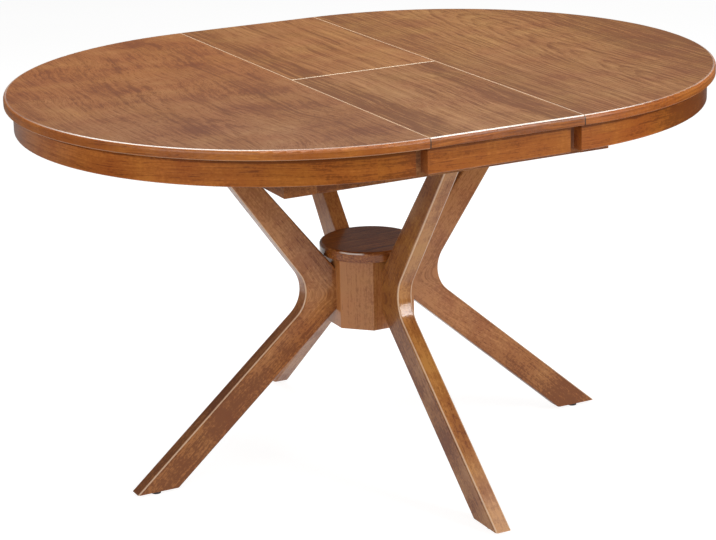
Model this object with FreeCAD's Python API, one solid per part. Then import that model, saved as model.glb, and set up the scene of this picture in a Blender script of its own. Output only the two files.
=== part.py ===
import FreeCAD, Part
import math
import os

os.makedirs("parts", exist_ok=True)

Vec = FreeCAD.Vector
CENTRE = Vec(0, 0, 0)
UP = Vec(0, 0, 1)
DOWN = Vec(0, 0, -1)
ALONG_X = Vec(1, 0, 0)
ALONG_Y = Vec(0, 1, 0)

# Whole table: round with the leaf put away, oval with the leaf in
TOP_DIAMETER = 1066.8
LEAF_WIDTH = 304.8
TABLE_HEIGHT = 762.0

# Top halves and leaf halves
TOP_THICKNESS = 18.0
TOP_EDGE_ROUND = 6.0
TOP_UNDER_ROUND = 2.0
SEAM_GAP = 0.4
FOLD_GAP = 0.4
SEAM_BEVEL = 0.9

# Aprons below the tops and the leaf
APRON_HEIGHT = 49.0
APRON_THICKNESS = 25.0
APRON_INSET = 16.0
APRON_EDGE_ROUND = 2.0
APRON_CLOSE_END = 2.5
APRON_FAR_END = 20.0
BLOCK_WIDTH = 40.0
BLOCK_DEPTH = 20.0
BLOCK_HEIGHT = 34.0
BLOCK_GAP = 12.0
BLOCK_OFFSET = 127.0
LEAF_BLOCK_SPACING = 170.0

# Square frame that carries the slides
FRAME_SIZE = 664.0
BAR_WIDTH = 63.0
BAR_HEIGHT = 58.0
BAR_EDGE_ROUND = 1.5
CORNER_BLOCK_SIDE = 60.0
CORNER_BLOCK_HEIGHT = 24.0
CORNER_BLOCK_RISE = 2.0
CORNER_SCREW_INSET = 15.0
CORNER_SCREW_SEAT = 37.0
CORNER_SCREW_RISE = 6.0

# Bent legs, seen from the side
LEG_THICKNESS = 32.0
LEG_SPREAD = 508.0
LEG_TOP_WIDTH = 52.0
LOWER_ARM_WIDTH = 56.0
LOWER_ARM_ANGLE = 41.0
LEG_WAIST = 43.5
LEG_BEND_RADIUS = 63.0
LEG_EDGE_ROUND = 4.0

# Feet
GLIDE_RADIUS = 9.0
GLIDE_HEIGHT = 7.0
GLIDE_NAIL_RADIUS = 1.2
GLIDE_NAIL_HEAD_RADIUS = 3.5
GLIDE_NAIL_HEAD_HEIGHT = 1.2
GLIDE_NAIL_SEAT = 1.6
GLIDE_NAIL_LENGTH = 20.0

# Eight-sided hub with its round cap
HUB_APOTHEM = 80.0
HUB_SIDES = 8
HUB_WALL = 22.0
HUB_HEIGHT = 138.0
HUB_SKIRT = 34.0
HUB_EDGE_ROUND = 2.0
CAP_RADIUS = 95.0
CAP_THICKNESS = 21.0
CAP_TOP_ROUND = 6.0
CAP_UNDER_ROUND = 3.0
CAP_LEG_GAP = 2.5
DOWEL_RADIUS = 4.0
CAP_DOWEL_LENGTH = 28.0
CAP_DOWEL_BITE = 12.0
CAP_DOWEL_TURN = 45.0

# Bolts between hub and legs
HUB_BOLT_RADIUS = 4.0
HUB_BOLT_SPACING = 44.0
HUB_BOLT_BITE = 40.0
HUB_BOLT_TAIL = 4.0
WASHER_RADIUS = 8.0
WASHER_THICKNESS = 1.6
NUT_ACROSS_FLATS = 13.0
NUT_SIDES = 6
NUT_THICKNESS = 6.5

# Bolts between frame and legs
LEG_BOLT_RADIUS = 3.0
LEG_BOLT_HEAD_RADIUS = 5.0
LEG_BOLT_HEAD_HEIGHT = 5.5
LEG_BOLT_RECESS = 6.0
LEG_BOLT_BITE = 35.0
LEG_BOLT_INSET = 37.0
LEG_BOLT_SPACING = 16.0

# Wood screws
SCREW_RADIUS = 2.25
SCREW_HEAD_RADIUS = 4.0
SCREW_HEAD_HEIGHT = 3.0
SCREW_BITE = 25.0

# Slides: one fixed rail with a runner on each side, at the front and at the rear
SLIDE_HEIGHT = 50.0
FIXED_RAIL_WIDTH = 20.0
FIXED_RAIL_TOP_GAP = 1.0
RUNNER_WIDTH = 20.0
RUNNER_SIDE_GAP = 0.5
RUNNER_UNDER_GAP = 0.3
RUNNER_END_GAP = 15.0
RUNNER_BACK_GAP = 1.0
RUNNER_REACH = 15.0
TONGUE_DEPTH = 5.0
TONGUE_HEIGHT = 8.0
TONGUE_RISE = 12.0
TONGUE_GAP = 0.3
OPEN_TRAVEL = 60.0
FIXED_RAIL_SCREW_SEAT = 20.0
FIXED_RAIL_SCREW_PLACES = (-220.0, -100.0, 100.0, 220.0)
RUNNER_SCREW_GRIP = 18.0
RUNNER_SCREW_BITE = 13.0
RUNNER_SCREW_COUNT = 3
RUNNER_SCREW_FIRST = 20.0
RUNNER_SCREW_SPACING = 55.0

# Equalizing gear: a pinion between two racks in each slide
GEAR_MODULE = 2.0
PINION_TEETH = 14
PRESSURE_ANGLE = 20.0
ADDENDUM_PER_MODULE = 0.8
DEDENDUM_PER_MODULE = 1.0
RACK_TOOTH_SLACK = 0.15
PINION_TOOTH_SLACK = 0.05
FLANK_STEPS = 5
PINION_THICKNESS = 9.0
PINION_FLOAT = 0.5
RACK_BACK = 3.0
GEAR_RISE = 30.0
AXLE_RADIUS = 3.0
AXLE_SINK = 18.0
AXLE_TOP_GAP = 0.5
WINDOW_GAP = 1.4

# Folding leaf: pivot rails, brackets, pins and concealed fold hinges
PIVOT_DROP = 25.5
PIVOT_PIN_RADIUS = 4.0
PIVOT_PIN_HEAD_RADIUS = 6.0
PIVOT_PIN_HEAD_HEIGHT = 2.5
PIVOT_PIN_END_GAP = 2.0
PIVOT_RAIL_GAP = 5.6
PIVOT_RAIL_WIDTH = 25.0
PIVOT_RAIL_RISE = 16.0
PIVOT_RAIL_SINK = 30.0
RAIL_DOWEL_LENGTH = 40.0
RAIL_DOWEL_SPACING = 14.0
BRACKET_THICKNESS = 3.0
BRACKET_EDGE_GAP = 3.4
BRACKET_WIDTH = 40.0
BRACKET_FLANGE = 29.0
BRACKET_BELOW_PIN = 12.0
BRACKET_SCREW_RADIUS = 1.75
BRACKET_SCREW_HEAD_RADIUS = 3.5
BRACKET_SCREW_HEAD_HEIGHT = 2.0
BRACKET_SCREW_BITE = 12.0
BRACKET_SCREW_SPACING = 24.0
HINGE_PLACES = (-100.0, 0.0, 100.0)
HINGE_RISE = 0.4
HINGE_WIDTH = 16.0
HINGE_LENGTH = 22.0
HINGE_HEIGHT = 10.0
HINGE_COVER = 4.0
HINGE_TONGUE_COVER = 0.2
HINGE_TONGUE_THICKNESS = 4.0
HINGE_TONGUE_WIDTH = 6.0
HINGE_TONGUE_ROOT = -40.0
HINGE_TONGUE_TIP = 45.0
HINGE_SLOT_END = 50.0
HINGE_SLOT_GAP = 0.3
LEAF_REST_LENGTH = 260.0
LEAF_REST_THICKNESS = 15.0
LEAF_REST_HEIGHT = 19.5
LEAF_REST_RISE = 1.0
LEAF_REST_SCREW_SPACING = 200.0
LEAF_REST_SCREW_SINK = 4.0

# Radial play of a pin or screw in its hole, and how far a cut runs past a face
FIT = 0.05
OVERRUN = 1.0

# Levels and reaches that follow from the sizes above
TOP_RADIUS = TOP_DIAMETER / 2
SEAM_X = LEAF_WIDTH / 2
LEAF_EDGE_X = SEAM_X - SEAM_GAP / 2
PANEL_Z = TABLE_HEIGHT - TOP_THICKNESS
APRON_Z = PANEL_Z - APRON_HEIGHT
APRON_OUTER = TOP_RADIUS - APRON_INSET
APRON_INNER = APRON_OUTER - APRON_THICKNESS
FRAME_Z = PANEL_Z - SLIDE_HEIGHT
LEG_TOP_Z = FRAME_Z - BAR_HEIGHT
FRAME_HALF = FRAME_SIZE / 2
FRAME_INNER = FRAME_HALF - BAR_WIDTH
SLIDE_Y = FRAME_HALF - BAR_WIDTH / 2
LOWER_SLOPE = math.tan(math.radians(LOWER_ARM_ANGLE))
FOOT_INNER = LEG_SPREAD - LOWER_ARM_WIDTH / math.sin(math.radians(LOWER_ARM_ANGLE))
FOOT_MIDDLE = (LEG_SPREAD + FOOT_INNER) / 2
LEG_HUB_LOW = GLIDE_HEIGHT + (FOOT_INNER - HUB_APOTHEM) * LOWER_SLOPE
HUB_BOTTOM = LEG_HUB_LOW - HUB_SKIRT
HUB_TOP = HUB_BOTTOM + HUB_HEIGHT
HUB_INNER = HUB_APOTHEM - HUB_WALL
LEG_TOP_INNER = FRAME_HALF - LEG_TOP_WIDTH
SHOULDER_SLOPE = (LEG_TOP_Z - HUB_TOP + CAP_LEG_GAP) / (LEG_TOP_INNER - CAP_RADIUS)
LEG_HUB_HIGH = HUB_TOP - CAP_LEG_GAP - (CAP_RADIUS - HUB_APOTHEM) * SHOULDER_SLOPE
BEND_X = HUB_APOTHEM + LEG_WAIST
BEND_Z = GLIDE_HEIGHT + (LEG_SPREAD - BEND_X) * LOWER_SLOPE
BLOCK_SEAT = math.sqrt(APRON_INNER ** 2 - (BLOCK_WIDTH / 2) ** 2) - FIT
RUNNER_NEAR = FIXED_RAIL_WIDTH / 2 + RUNNER_SIDE_GAP
RUNNER_FAR = RUNNER_NEAR + RUNNER_WIDTH
RUNNER_Z = FRAME_Z + RUNNER_UNDER_GAP
RUNNER_OUTER_X = -SEAM_X - math.sqrt(APRON_INNER ** 2 - (SLIDE_Y + RUNNER_FAR) ** 2) + RUNNER_END_GAP
RUNNER_INNER_X = OPEN_TRAVEL + RUNNER_REACH
TONGUE_Z = FRAME_Z + TONGUE_RISE
TONGUE_TIP = FIXED_RAIL_WIDTH / 2 + TONGUE_DEPTH
PITCH = math.pi * GEAR_MODULE
PITCH_RADIUS = GEAR_MODULE * PINION_TEETH / 2
TOOTH_ADDENDUM = ADDENDUM_PER_MODULE * GEAR_MODULE
TOOTH_DEDENDUM = DEDENDUM_PER_MODULE * GEAR_MODULE
PINION_TIP = PITCH_RADIUS + TOOTH_ADDENDUM
PINION_ROOT = PITCH_RADIUS - TOOTH_DEDENDUM
RACK_TIP = PITCH_RADIUS - TOOTH_ADDENDUM
RACK_ROOT = PITCH_RADIUS + TOOTH_DEDENDUM
RACK_FAR = RACK_ROOT + RACK_BACK
GEAR_Z = FRAME_Z + GEAR_RISE
GEAR_SPACE = PINION_THICKNESS + 2 * PINION_FLOAT
RACK_TEETH_CLOSING = math.ceil((SEAM_X + PINION_TIP) / PITCH)
RACK_TEETH_OPENING = math.ceil((OPEN_TRAVEL + PITCH) / PITCH)
PIVOT_Y = TOP_RADIUS / 4
PIVOT_Z = PANEL_Z - PIVOT_DROP
PIVOT_RAIL_X = SEAM_X + PIVOT_RAIL_GAP
BRACKET_X = LEAF_EDGE_X - BRACKET_EDGE_GAP
HINGE_Z = TABLE_HEIGHT + HINGE_RISE
HINGE_BLOCK_TOP = TABLE_HEIGHT - HINGE_COVER
HINGE_TONGUE_DROP = HINGE_RISE + HINGE_COVER + HINGE_TONGUE_COVER
HINGE_TONGUE_INNER = HINGE_TONGUE_DROP / math.cos(math.radians(HINGE_TONGUE_TIP))
HINGE_TONGUE_OUTER = HINGE_TONGUE_INNER + HINGE_TONGUE_THICKNESS
QUARTERS = (0, 90, 180, 270)
LEG_ANGLES = {"leg_right": 0, "leg_rear": 90, "leg_left": 180, "leg_front": 270}


# Small helpers

def box(x_low, x_high, y_low, y_high, z_low, z_high):
    return Part.makeBox(x_high - x_low, y_high - y_low, z_high - z_low, Vec(x_low, y_low, z_low))


def turned(shape, degrees, centre=CENTRE):
    copy = shape.copy()
    copy.rotate(centre, UP, degrees)
    return copy


def prism(points, run):
    return Part.Face(Part.makePolygon(points + points[:1])).extrude(run)


def regular_prism(apothem, sides, height):
    corner = apothem / math.cos(math.pi / sides)
    angles = [(2 * side + 1) * math.pi / sides for side in range(sides)]
    points = [Vec(corner * math.cos(angle), corner * math.sin(angle), 0) for angle in angles]
    return prism(points, Vec(0, 0, height))


def rounded(shape, radius, wanted):
    return shape.makeFillet(radius, [edge for edge in shape.Edges if wanted(edge.BoundBox)])


def level(edge_box, height):
    return abs(edge_box.ZMin - height) < FIT and abs(edge_box.ZMax - height) < FIT


def fastener(seat, way, length, shank, head, head_height, fit, access):
    body = Part.makeCylinder(shank + fit, length + fit, seat, way)
    cap_height = head_height + access
    return body.fuse(Part.makeCylinder(head + fit, cap_height, seat - way * cap_height, way))


def wood_screw(seat, way, length, fit, access):
    return fastener(seat, way, length, SCREW_RADIUS, SCREW_HEAD_RADIUS, SCREW_HEAD_HEIGHT, fit, access)


def save(name, shape):
    solids = shape if isinstance(shape, list) else [shape]
    whole = Part.makeCompound(solids) if len(solids) > 1 else solids[0]
    whole.exportStep("parts/" + name + ".step")


def save_pair(left_name, right_name, shape):
    save(left_name, shape)
    if isinstance(shape, list):
        save(right_name, [turned(solid, 180) for solid in shape])
    else:
        save(right_name, turned(shape, 180))


# Fasteners: called plain they give the piece, with fit and access they give its hole

def leg_bolts(fit=0.0):
    seat_z = FRAME_Z - LEG_BOLT_RECESS
    length = BAR_HEIGHT - LEG_BOLT_RECESS + LEG_BOLT_BITE
    access = OVERRUN if fit else 0.0
    bolts = []
    for angle in QUARTERS:
        for side in (-0.5, 0.5):
            seat = Vec(FRAME_HALF - LEG_BOLT_INSET, side * LEG_BOLT_SPACING, seat_z)
            bolt = fastener(seat, DOWN, length, LEG_BOLT_RADIUS, LEG_BOLT_HEAD_RADIUS,
                            LEG_BOLT_HEAD_HEIGHT, fit, access)
            bolts.append(turned(bolt, angle))
    return bolts


def hub_bolt_heights():
    middle = (LEG_HUB_LOW + LEG_HUB_HIGH) / 2
    return (middle - HUB_BOLT_SPACING / 2, middle + HUB_BOLT_SPACING / 2)


def hub_bolts(fit=0.0):
    start = HUB_INNER - WASHER_THICKNESS - NUT_THICKNESS - HUB_BOLT_TAIL
    length = HUB_APOTHEM + HUB_BOLT_BITE - start + fit
    return [turned(Part.makeCylinder(HUB_BOLT_RADIUS + fit, length, Vec(start, 0, height), ALONG_X), angle)
            for angle in QUARTERS for height in hub_bolt_heights()]


def hub_washers():
    start = HUB_INNER - WASHER_THICKNESS
    washers = []
    for height in hub_bolt_heights():
        washer = Part.makeCylinder(WASHER_RADIUS, WASHER_THICKNESS, Vec(start, 0, height), ALONG_X)
        washers.append(washer.cut(hub_bolts(FIT)))
    return [turned(washer, angle) for angle in QUARTERS for washer in washers]


def hub_nuts():
    start = HUB_INNER - WASHER_THICKNESS - NUT_THICKNESS
    nuts = []
    for height in hub_bolt_heights():
        nut = regular_prism(NUT_ACROSS_FLATS / 2, NUT_SIDES, NUT_THICKNESS)
        nut.rotate(CENTRE, ALONG_Y, 90)
        nut.translate(Vec(start, 0, height))
        nuts.append(nut.cut(hub_bolts(FIT)))
    return [turned(nut, angle) for angle in QUARTERS for nut in nuts]


def cap_dowels(fit=0.0):
    reach = HUB_APOTHEM - HUB_WALL / 2
    start = Vec(reach, 0, HUB_TOP + CAP_DOWEL_BITE - CAP_DOWEL_LENGTH - fit)
    dowel = Part.makeCylinder(DOWEL_RADIUS + fit, CAP_DOWEL_LENGTH + 2 * fit, start)
    return [turned(dowel, angle + CAP_DOWEL_TURN) for angle in QUARTERS]


def glide_nails(fit=0.0):
    seat = Vec(FOOT_MIDDLE, 0, GLIDE_HEIGHT - GLIDE_NAIL_SEAT)
    nail = fastener(seat, UP, GLIDE_NAIL_LENGTH, GLIDE_NAIL_RADIUS, GLIDE_NAIL_HEAD_RADIUS,
                    GLIDE_NAIL_HEAD_HEIGHT, fit, GLIDE_HEIGHT if fit else 0.0)
    return [turned(nail, angle) for angle in QUARTERS]


def corner_screws(fit=0.0):
    access = CORNER_BLOCK_SIDE if fit else 0.0
    line = FRAME_INNER - CORNER_SCREW_INSET
    start = FRAME_INNER - CORNER_SCREW_SEAT
    middle = LEG_TOP_Z + CORNER_BLOCK_RISE + CORNER_BLOCK_HEIGHT / 2
    length = CORNER_SCREW_SEAT + SCREW_BITE
    pair = [wood_screw(Vec(start, line, middle - CORNER_SCREW_RISE), ALONG_X, length, fit, access),
            wood_screw(Vec(line, start, middle + CORNER_SCREW_RISE), ALONG_Y, length, fit, access)]
    return [turned(screw, angle) for angle in QUARTERS for screw in pair]


def fixed_rail_screws(fit=0.0):
    seat_z = FRAME_Z + FIXED_RAIL_SCREW_SEAT
    length = FIXED_RAIL_SCREW_SEAT + SCREW_BITE
    access = SLIDE_HEIGHT if fit else 0.0
    return [wood_screw(Vec(place, side * SLIDE_Y, seat_z), DOWN, length, fit, access)
            for side in (-1, 1) for place in FIXED_RAIL_SCREW_PLACES]


def rail_dowels(fit=0.0):
    middle_x = PIVOT_RAIL_X + PIVOT_RAIL_WIDTH / 2
    middle_z = FRAME_Z - PIVOT_RAIL_SINK / 2
    length = RAIL_DOWEL_LENGTH + 2 * fit
    return [Part.makeCylinder(DOWEL_RADIUS + fit, length,
                              Vec(side * middle_x, end * FRAME_INNER - length / 2,
                                  middle_z + step * RAIL_DOWEL_SPACING), ALONG_Y)
            for side in (-1, 1) for end in (-1, 1) for step in (-0.5, 0.5)]


def leaf_rest_screws(fit=0.0):
    access = LEAF_REST_THICKNESS if fit else 0.0
    seat_y = -FRAME_INNER + LEAF_REST_THICKNESS - LEAF_REST_SCREW_SINK
    height = LEG_TOP_Z + LEAF_REST_RISE + LEAF_REST_HEIGHT / 2
    length = LEAF_REST_THICKNESS - LEAF_REST_SCREW_SINK + SCREW_BITE
    front = [wood_screw(Vec(side * LEAF_REST_SCREW_SPACING, seat_y, height), -ALONG_Y, length, fit, access)
             for side in (-0.5, 0.5)]
    return front + [turned(screw, 180) for screw in front]


def runner_screws(fit=0.0):
    seat_z = PANEL_Z - RUNNER_SCREW_GRIP
    access = SLIDE_HEIGHT if fit else 0.0
    line = (TONGUE_TIP + TONGUE_GAP + RUNNER_FAR) / 2
    length = RUNNER_SCREW_GRIP + RUNNER_SCREW_BITE
    places = [RUNNER_OUTER_X + RUNNER_SCREW_FIRST + step * RUNNER_SCREW_SPACING
              for step in range(RUNNER_SCREW_COUNT)]
    return [wood_screw(Vec(place, side * SLIDE_Y + line, seat_z), UP, length, fit, access)
            for side in (-1, 1) for place in places]


def bracket_screws(fit=0.0):
    middle_x = BRACKET_X - (BRACKET_FLANGE + BRACKET_THICKNESS) / 2
    seat_z = PANEL_Z - BRACKET_THICKNESS
    length = BRACKET_THICKNESS + BRACKET_SCREW_BITE
    return [fastener(Vec(side * middle_x, PIVOT_Y + step * BRACKET_SCREW_SPACING, seat_z), UP, length,
                     BRACKET_SCREW_RADIUS, BRACKET_SCREW_HEAD_RADIUS, BRACKET_SCREW_HEAD_HEIGHT, fit, 0.0)
            for side in (-1, 1) for step in (-0.5, 0.5)]


def pivot_pins(fit=0.0):
    inner_x = BRACKET_X - BRACKET_THICKNESS
    end_gap = -OVERRUN if fit else PIVOT_PIN_END_GAP
    length = PIVOT_RAIL_X + PIVOT_RAIL_WIDTH - inner_x - end_gap
    return [fastener(Vec(side * inner_x, PIVOT_Y, PIVOT_Z), ALONG_X * side, length, PIVOT_PIN_RADIUS,
                     PIVOT_PIN_HEAD_RADIUS, PIVOT_PIN_HEAD_HEIGHT, fit, 0.0)
            for side in (-1, 1)]


def pinion_axles(fit=0.0):
    bottom = GEAR_Z - AXLE_SINK
    top = PANEL_Z - FIXED_RAIL_TOP_GAP - AXLE_TOP_GAP
    height = top - bottom + (SLIDE_HEIGHT if fit else 0.0)
    return [Part.makeCylinder(AXLE_RADIUS + fit, height, Vec(0, side * SLIDE_Y, bottom)) for side in (-1, 1)]


# Tops and aprons

def seam_bevel(edge_point, outward, run):
    spare = SEAM_BEVEL + 2 * OVERRUN
    corner = edge_point + (outward + UP) * OVERRUN
    return prism([corner, corner - UP * spare, corner - outward * spare], run)


def half_top():
    disc = Part.makeCylinder(TOP_RADIUS, TOP_THICKNESS, Vec(-SEAM_X, 0, PANEL_Z))
    disc = rounded(disc, TOP_EDGE_ROUND, lambda edge: level(edge, TABLE_HEIGHT))
    disc = rounded(disc, TOP_UNDER_ROUND, lambda edge: level(edge, PANEL_Z))
    seam = -SEAM_X - SEAM_GAP / 2
    span = TOP_RADIUS + OVERRUN
    panel = disc.common(box(seam - span, seam, -span, span, PANEL_Z - OVERRUN, TABLE_HEIGHT + OVERRUN))
    bevel = seam_bevel(Vec(seam, -span, TABLE_HEIGHT), ALONG_X, Vec(0, 2 * span, 0))
    return panel.cut([bevel] + runner_screws(FIT))


def half_apron():
    start = Vec(-SEAM_X, 0, APRON_Z)
    ring = Part.makeCylinder(APRON_OUTER, APRON_HEIGHT, start)
    ring = ring.cut(Part.makeCylinder(APRON_INNER, APRON_HEIGHT, start))
    ring = rounded(ring, APRON_EDGE_ROUND, lambda edge: level(edge, APRON_Z))
    span = TOP_RADIUS + OVERRUN
    low = APRON_Z - OVERRUN
    high = PANEL_Z + OVERRUN
    front = box(-SEAM_X - APRON_FAR_END, span, -span, 0, low, high)
    rear = box(-SEAM_X - APRON_CLOSE_END, span, -OVERRUN, span, low, high)
    return ring.cut(front).cut(rear)


def apron_block_angles():
    half = math.asin(BLOCK_WIDTH / 2 / BLOCK_SEAT)
    between_runners = math.asin(BLOCK_OFFSET / BLOCK_SEAT)
    past_runner = math.asin((SLIDE_Y + RUNNER_FAR + BLOCK_GAP) / (BLOCK_SEAT - BLOCK_DEPTH)) + half
    by_seam = math.acos((APRON_FAR_END + BLOCK_GAP) / BLOCK_SEAT) - half
    one_side = (between_runners, past_runner, by_seam)
    return [side * math.degrees(angle) for side in (-1, 1) for angle in one_side]


def apron_blocks():
    centre = Vec(-SEAM_X, 0, 0)
    outer_x = -SEAM_X - BLOCK_SEAT
    block = box(outer_x, outer_x + BLOCK_DEPTH, -BLOCK_WIDTH / 2, BLOCK_WIDTH / 2,
                PANEL_Z - BLOCK_HEIGHT, PANEL_Z)
    return [turned(block, angle, centre) for angle in apron_block_angles()]


def leaf_panel_rear():
    fold = FOLD_GAP / 2
    panel = box(-LEAF_EDGE_X, LEAF_EDGE_X, fold, TOP_RADIUS, PANEL_Z, TABLE_HEIGHT)
    outer = lambda edge: edge.YMin > TOP_RADIUS - FIT
    panel = rounded(panel, TOP_EDGE_ROUND, lambda edge: outer(edge) and level(edge, TABLE_HEIGHT))
    panel = rounded(panel, TOP_UNDER_ROUND, lambda edge: outer(edge) and level(edge, PANEL_Z))
    sides = [seam_bevel(Vec(side * LEAF_EDGE_X, -OVERRUN, TABLE_HEIGHT), ALONG_X * side,
                        Vec(0, TOP_RADIUS + 2 * OVERRUN, 0)) for side in (-1, 1)]
    fold_bevel = seam_bevel(Vec(-LEAF_EDGE_X - OVERRUN, fold, TABLE_HEIGHT), -ALONG_Y,
                            Vec(2 * (LEAF_EDGE_X + OVERRUN), 0, 0))
    for bevel in sides + [fold_bevel]:
        panel = panel.cut(bevel)
    half = HINGE_WIDTH / 2 + FIT
    pockets = [box(place - half, place + half, -OVERRUN, HINGE_LENGTH + FIT,
                   HINGE_BLOCK_TOP - HINGE_HEIGHT - FIT, HINGE_BLOCK_TOP + FIT) for place in HINGE_PLACES]
    return panel.cut(pockets)


def leaf_apron_rear():
    bar = box(-SEAM_X + APRON_FAR_END, SEAM_X - APRON_CLOSE_END, APRON_INNER, APRON_OUTER, APRON_Z, PANEL_Z)
    return rounded(bar, APRON_EDGE_ROUND, lambda edge: level(edge, APRON_Z) and edge.YLength < FIT)


def leaf_blocks_rear():
    return [box(middle - BLOCK_WIDTH / 2, middle + BLOCK_WIDTH / 2, APRON_INNER - BLOCK_DEPTH, APRON_INNER,
                PANEL_Z - BLOCK_HEIGHT, PANEL_Z)
            for middle in (-LEAF_BLOCK_SPACING / 2, LEAF_BLOCK_SPACING / 2)]


# Legs, feet and hub

def leg():
    bend = Vec(BEND_X, 0, BEND_Z)
    foot_out = Vec(LEG_SPREAD, 0, GLIDE_HEIGHT)
    top_out = Vec(FRAME_HALF, 0, LEG_TOP_Z)
    to_top = (top_out - bend).normalize()
    to_foot = (foot_out - bend).normalize()
    half_opening = to_top.getAngle(to_foot) / 2
    tangent = LEG_BEND_RADIUS / math.tan(half_opening)
    arc_start = bend + to_top * tangent
    arc_end = bend + to_foot * tangent
    depth = LEG_BEND_RADIUS / math.sin(half_opening) - LEG_BEND_RADIUS
    arc_middle = bend + (to_top + to_foot).normalize() * depth
    corners = [arc_end, foot_out, Vec(FOOT_INNER, 0, GLIDE_HEIGHT), Vec(HUB_APOTHEM, 0, LEG_HUB_LOW),
               Vec(HUB_APOTHEM, 0, LEG_HUB_HIGH), Vec(LEG_TOP_INNER, 0, LEG_TOP_Z), top_out, arc_start]
    edges = [Part.LineSegment(start, end).toShape() for start, end in zip(corners, corners[1:])]
    edges.append(Part.Arc(arc_start, arc_middle, arc_end).toShape())
    profile = Part.Face(Part.Wire(edges))
    profile.translate(Vec(0, -LEG_THICKNESS / 2, 0))
    solid = profile.extrude(Vec(0, LEG_THICKNESS, 0))
    long_edge = lambda edge: edge.YLength < FIT and edge.XLength > FIT and edge.ZLength > FIT
    solid = rounded(solid, LEG_EDGE_ROUND, long_edge)
    return solid.cut(hub_bolts(FIT) + leg_bolts(FIT) + glide_nails(FIT))


def foot_glides():
    glide = Part.makeCylinder(GLIDE_RADIUS, GLIDE_HEIGHT, Vec(FOOT_MIDDLE, 0, 0)).cut(glide_nails(FIT))
    return [turned(glide, angle) for angle in QUARTERS]


def hub_post():
    post = regular_prism(HUB_APOTHEM, HUB_SIDES, HUB_HEIGHT)
    post = rounded(post, HUB_EDGE_ROUND, lambda edge: edge.ZMin < HUB_HEIGHT - FIT)
    post = post.cut(regular_prism(HUB_INNER, HUB_SIDES, HUB_HEIGHT))
    post.translate(Vec(0, 0, HUB_BOTTOM))
    return post.cut(hub_bolts(FIT) + cap_dowels(FIT))


def hub_cap():
    cap = Part.makeCylinder(CAP_RADIUS, CAP_THICKNESS, Vec(0, 0, HUB_TOP))
    cap = rounded(cap, CAP_TOP_ROUND, lambda edge: level(edge, HUB_TOP + CAP_THICKNESS))
    cap = rounded(cap, CAP_UNDER_ROUND, lambda edge: level(edge, HUB_TOP))
    return cap.cut(cap_dowels(FIT))


# Frame

def bar_holes():
    screws = corner_screws(FIT) + fixed_rail_screws(FIT) + leaf_rest_screws(FIT)
    return leg_bolts(FIT) + screws + rail_dowels(FIT)


def side_bar():
    bar = box(-FRAME_HALF, -FRAME_INNER, -FRAME_HALF, FRAME_HALF, LEG_TOP_Z, FRAME_Z)
    bar = rounded(bar, BAR_EDGE_ROUND, lambda edge: edge.YLength > FIT)
    return bar.cut(bar_holes())


def end_bar():
    bar = box(-FRAME_INNER, FRAME_INNER, -FRAME_HALF, -FRAME_INNER, LEG_TOP_Z, FRAME_Z)
    bar = rounded(bar, BAR_EDGE_ROUND, lambda edge: edge.XLength > FIT)
    return bar.cut(bar_holes())


def corner_blocks():
    low = LEG_TOP_Z + CORNER_BLOCK_RISE
    inner = FRAME_INNER - CORNER_BLOCK_SIDE
    points = [Vec(FRAME_INNER, FRAME_INNER, low), Vec(inner, FRAME_INNER, low), Vec(FRAME_INNER, inner, low)]
    block = prism(points, Vec(0, 0, CORNER_BLOCK_HEIGHT)).cut(corner_screws(FIT))
    return [turned(block, angle) for angle in QUARTERS]


def pivot_rail():
    outer_x = -PIVOT_RAIL_X - PIVOT_RAIL_WIDTH
    reach = SLIDE_Y - RUNNER_FAR - RUNNER_BACK_GAP
    lower = box(outer_x, -PIVOT_RAIL_X, -FRAME_INNER, FRAME_INNER, FRAME_Z - PIVOT_RAIL_SINK, FRAME_Z)
    upper = box(outer_x, -PIVOT_RAIL_X, -reach, reach, FRAME_Z, PIVOT_Z + PIVOT_RAIL_RISE)
    return lower.fuse(upper).removeSplitter().cut(rail_dowels(FIT))


def leaf_rest():
    low = LEG_TOP_Z + LEAF_REST_RISE
    rest = box(-LEAF_REST_LENGTH / 2, LEAF_REST_LENGTH / 2, -FRAME_INNER, -FRAME_INNER + LEAF_REST_THICKNESS,
               low, low + LEAF_REST_HEIGHT)
    return rest.cut(leaf_rest_screws(FIT))


# Slides and equalizing gear

def fixed_rail(slide_y):
    half = FIXED_RAIL_WIDTH / 2
    rail_top = PANEL_Z - FIXED_RAIL_TOP_GAP
    rail = box(-FRAME_HALF, FRAME_HALF, slide_y - half, slide_y + half, FRAME_Z, rail_top)
    tongue = box(-FRAME_HALF, FRAME_HALF, slide_y - TONGUE_TIP, slide_y + TONGUE_TIP,
                 TONGUE_Z, TONGUE_Z + TONGUE_HEIGHT)
    reach = PINION_TIP + WINDOW_GAP
    window = box(-reach, reach, slide_y - TONGUE_TIP, slide_y + TONGUE_TIP, GEAR_Z, GEAR_Z + GEAR_SPACE)
    rail = rail.fuse(tongue).removeSplitter().cut(window)
    return rail.cut(pinion_axles(FIT) + fixed_rail_screws(FIT))


def left_runner(slide_y):
    near = slide_y + RUNNER_NEAR
    runner = box(RUNNER_OUTER_X, RUNNER_INNER_X, near, slide_y + RUNNER_FAR, RUNNER_Z, PANEL_Z)
    tongue_groove = box(RUNNER_OUTER_X - OVERRUN, RUNNER_INNER_X + OVERRUN,
                        near - OVERRUN, slide_y + TONGUE_TIP + TONGUE_GAP,
                        TONGUE_Z - TONGUE_GAP, TONGUE_Z + TONGUE_HEIGHT + TONGUE_GAP)
    rack_groove = box(-RACK_TEETH_CLOSING * PITCH - FIT, RUNNER_INNER_X + OVERRUN,
                      near - OVERRUN, slide_y + RACK_FAR, GEAR_Z, GEAR_Z + GEAR_SPACE)
    return runner.cut([tongue_groove, rack_groove] + runner_screws(FIT))


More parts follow.
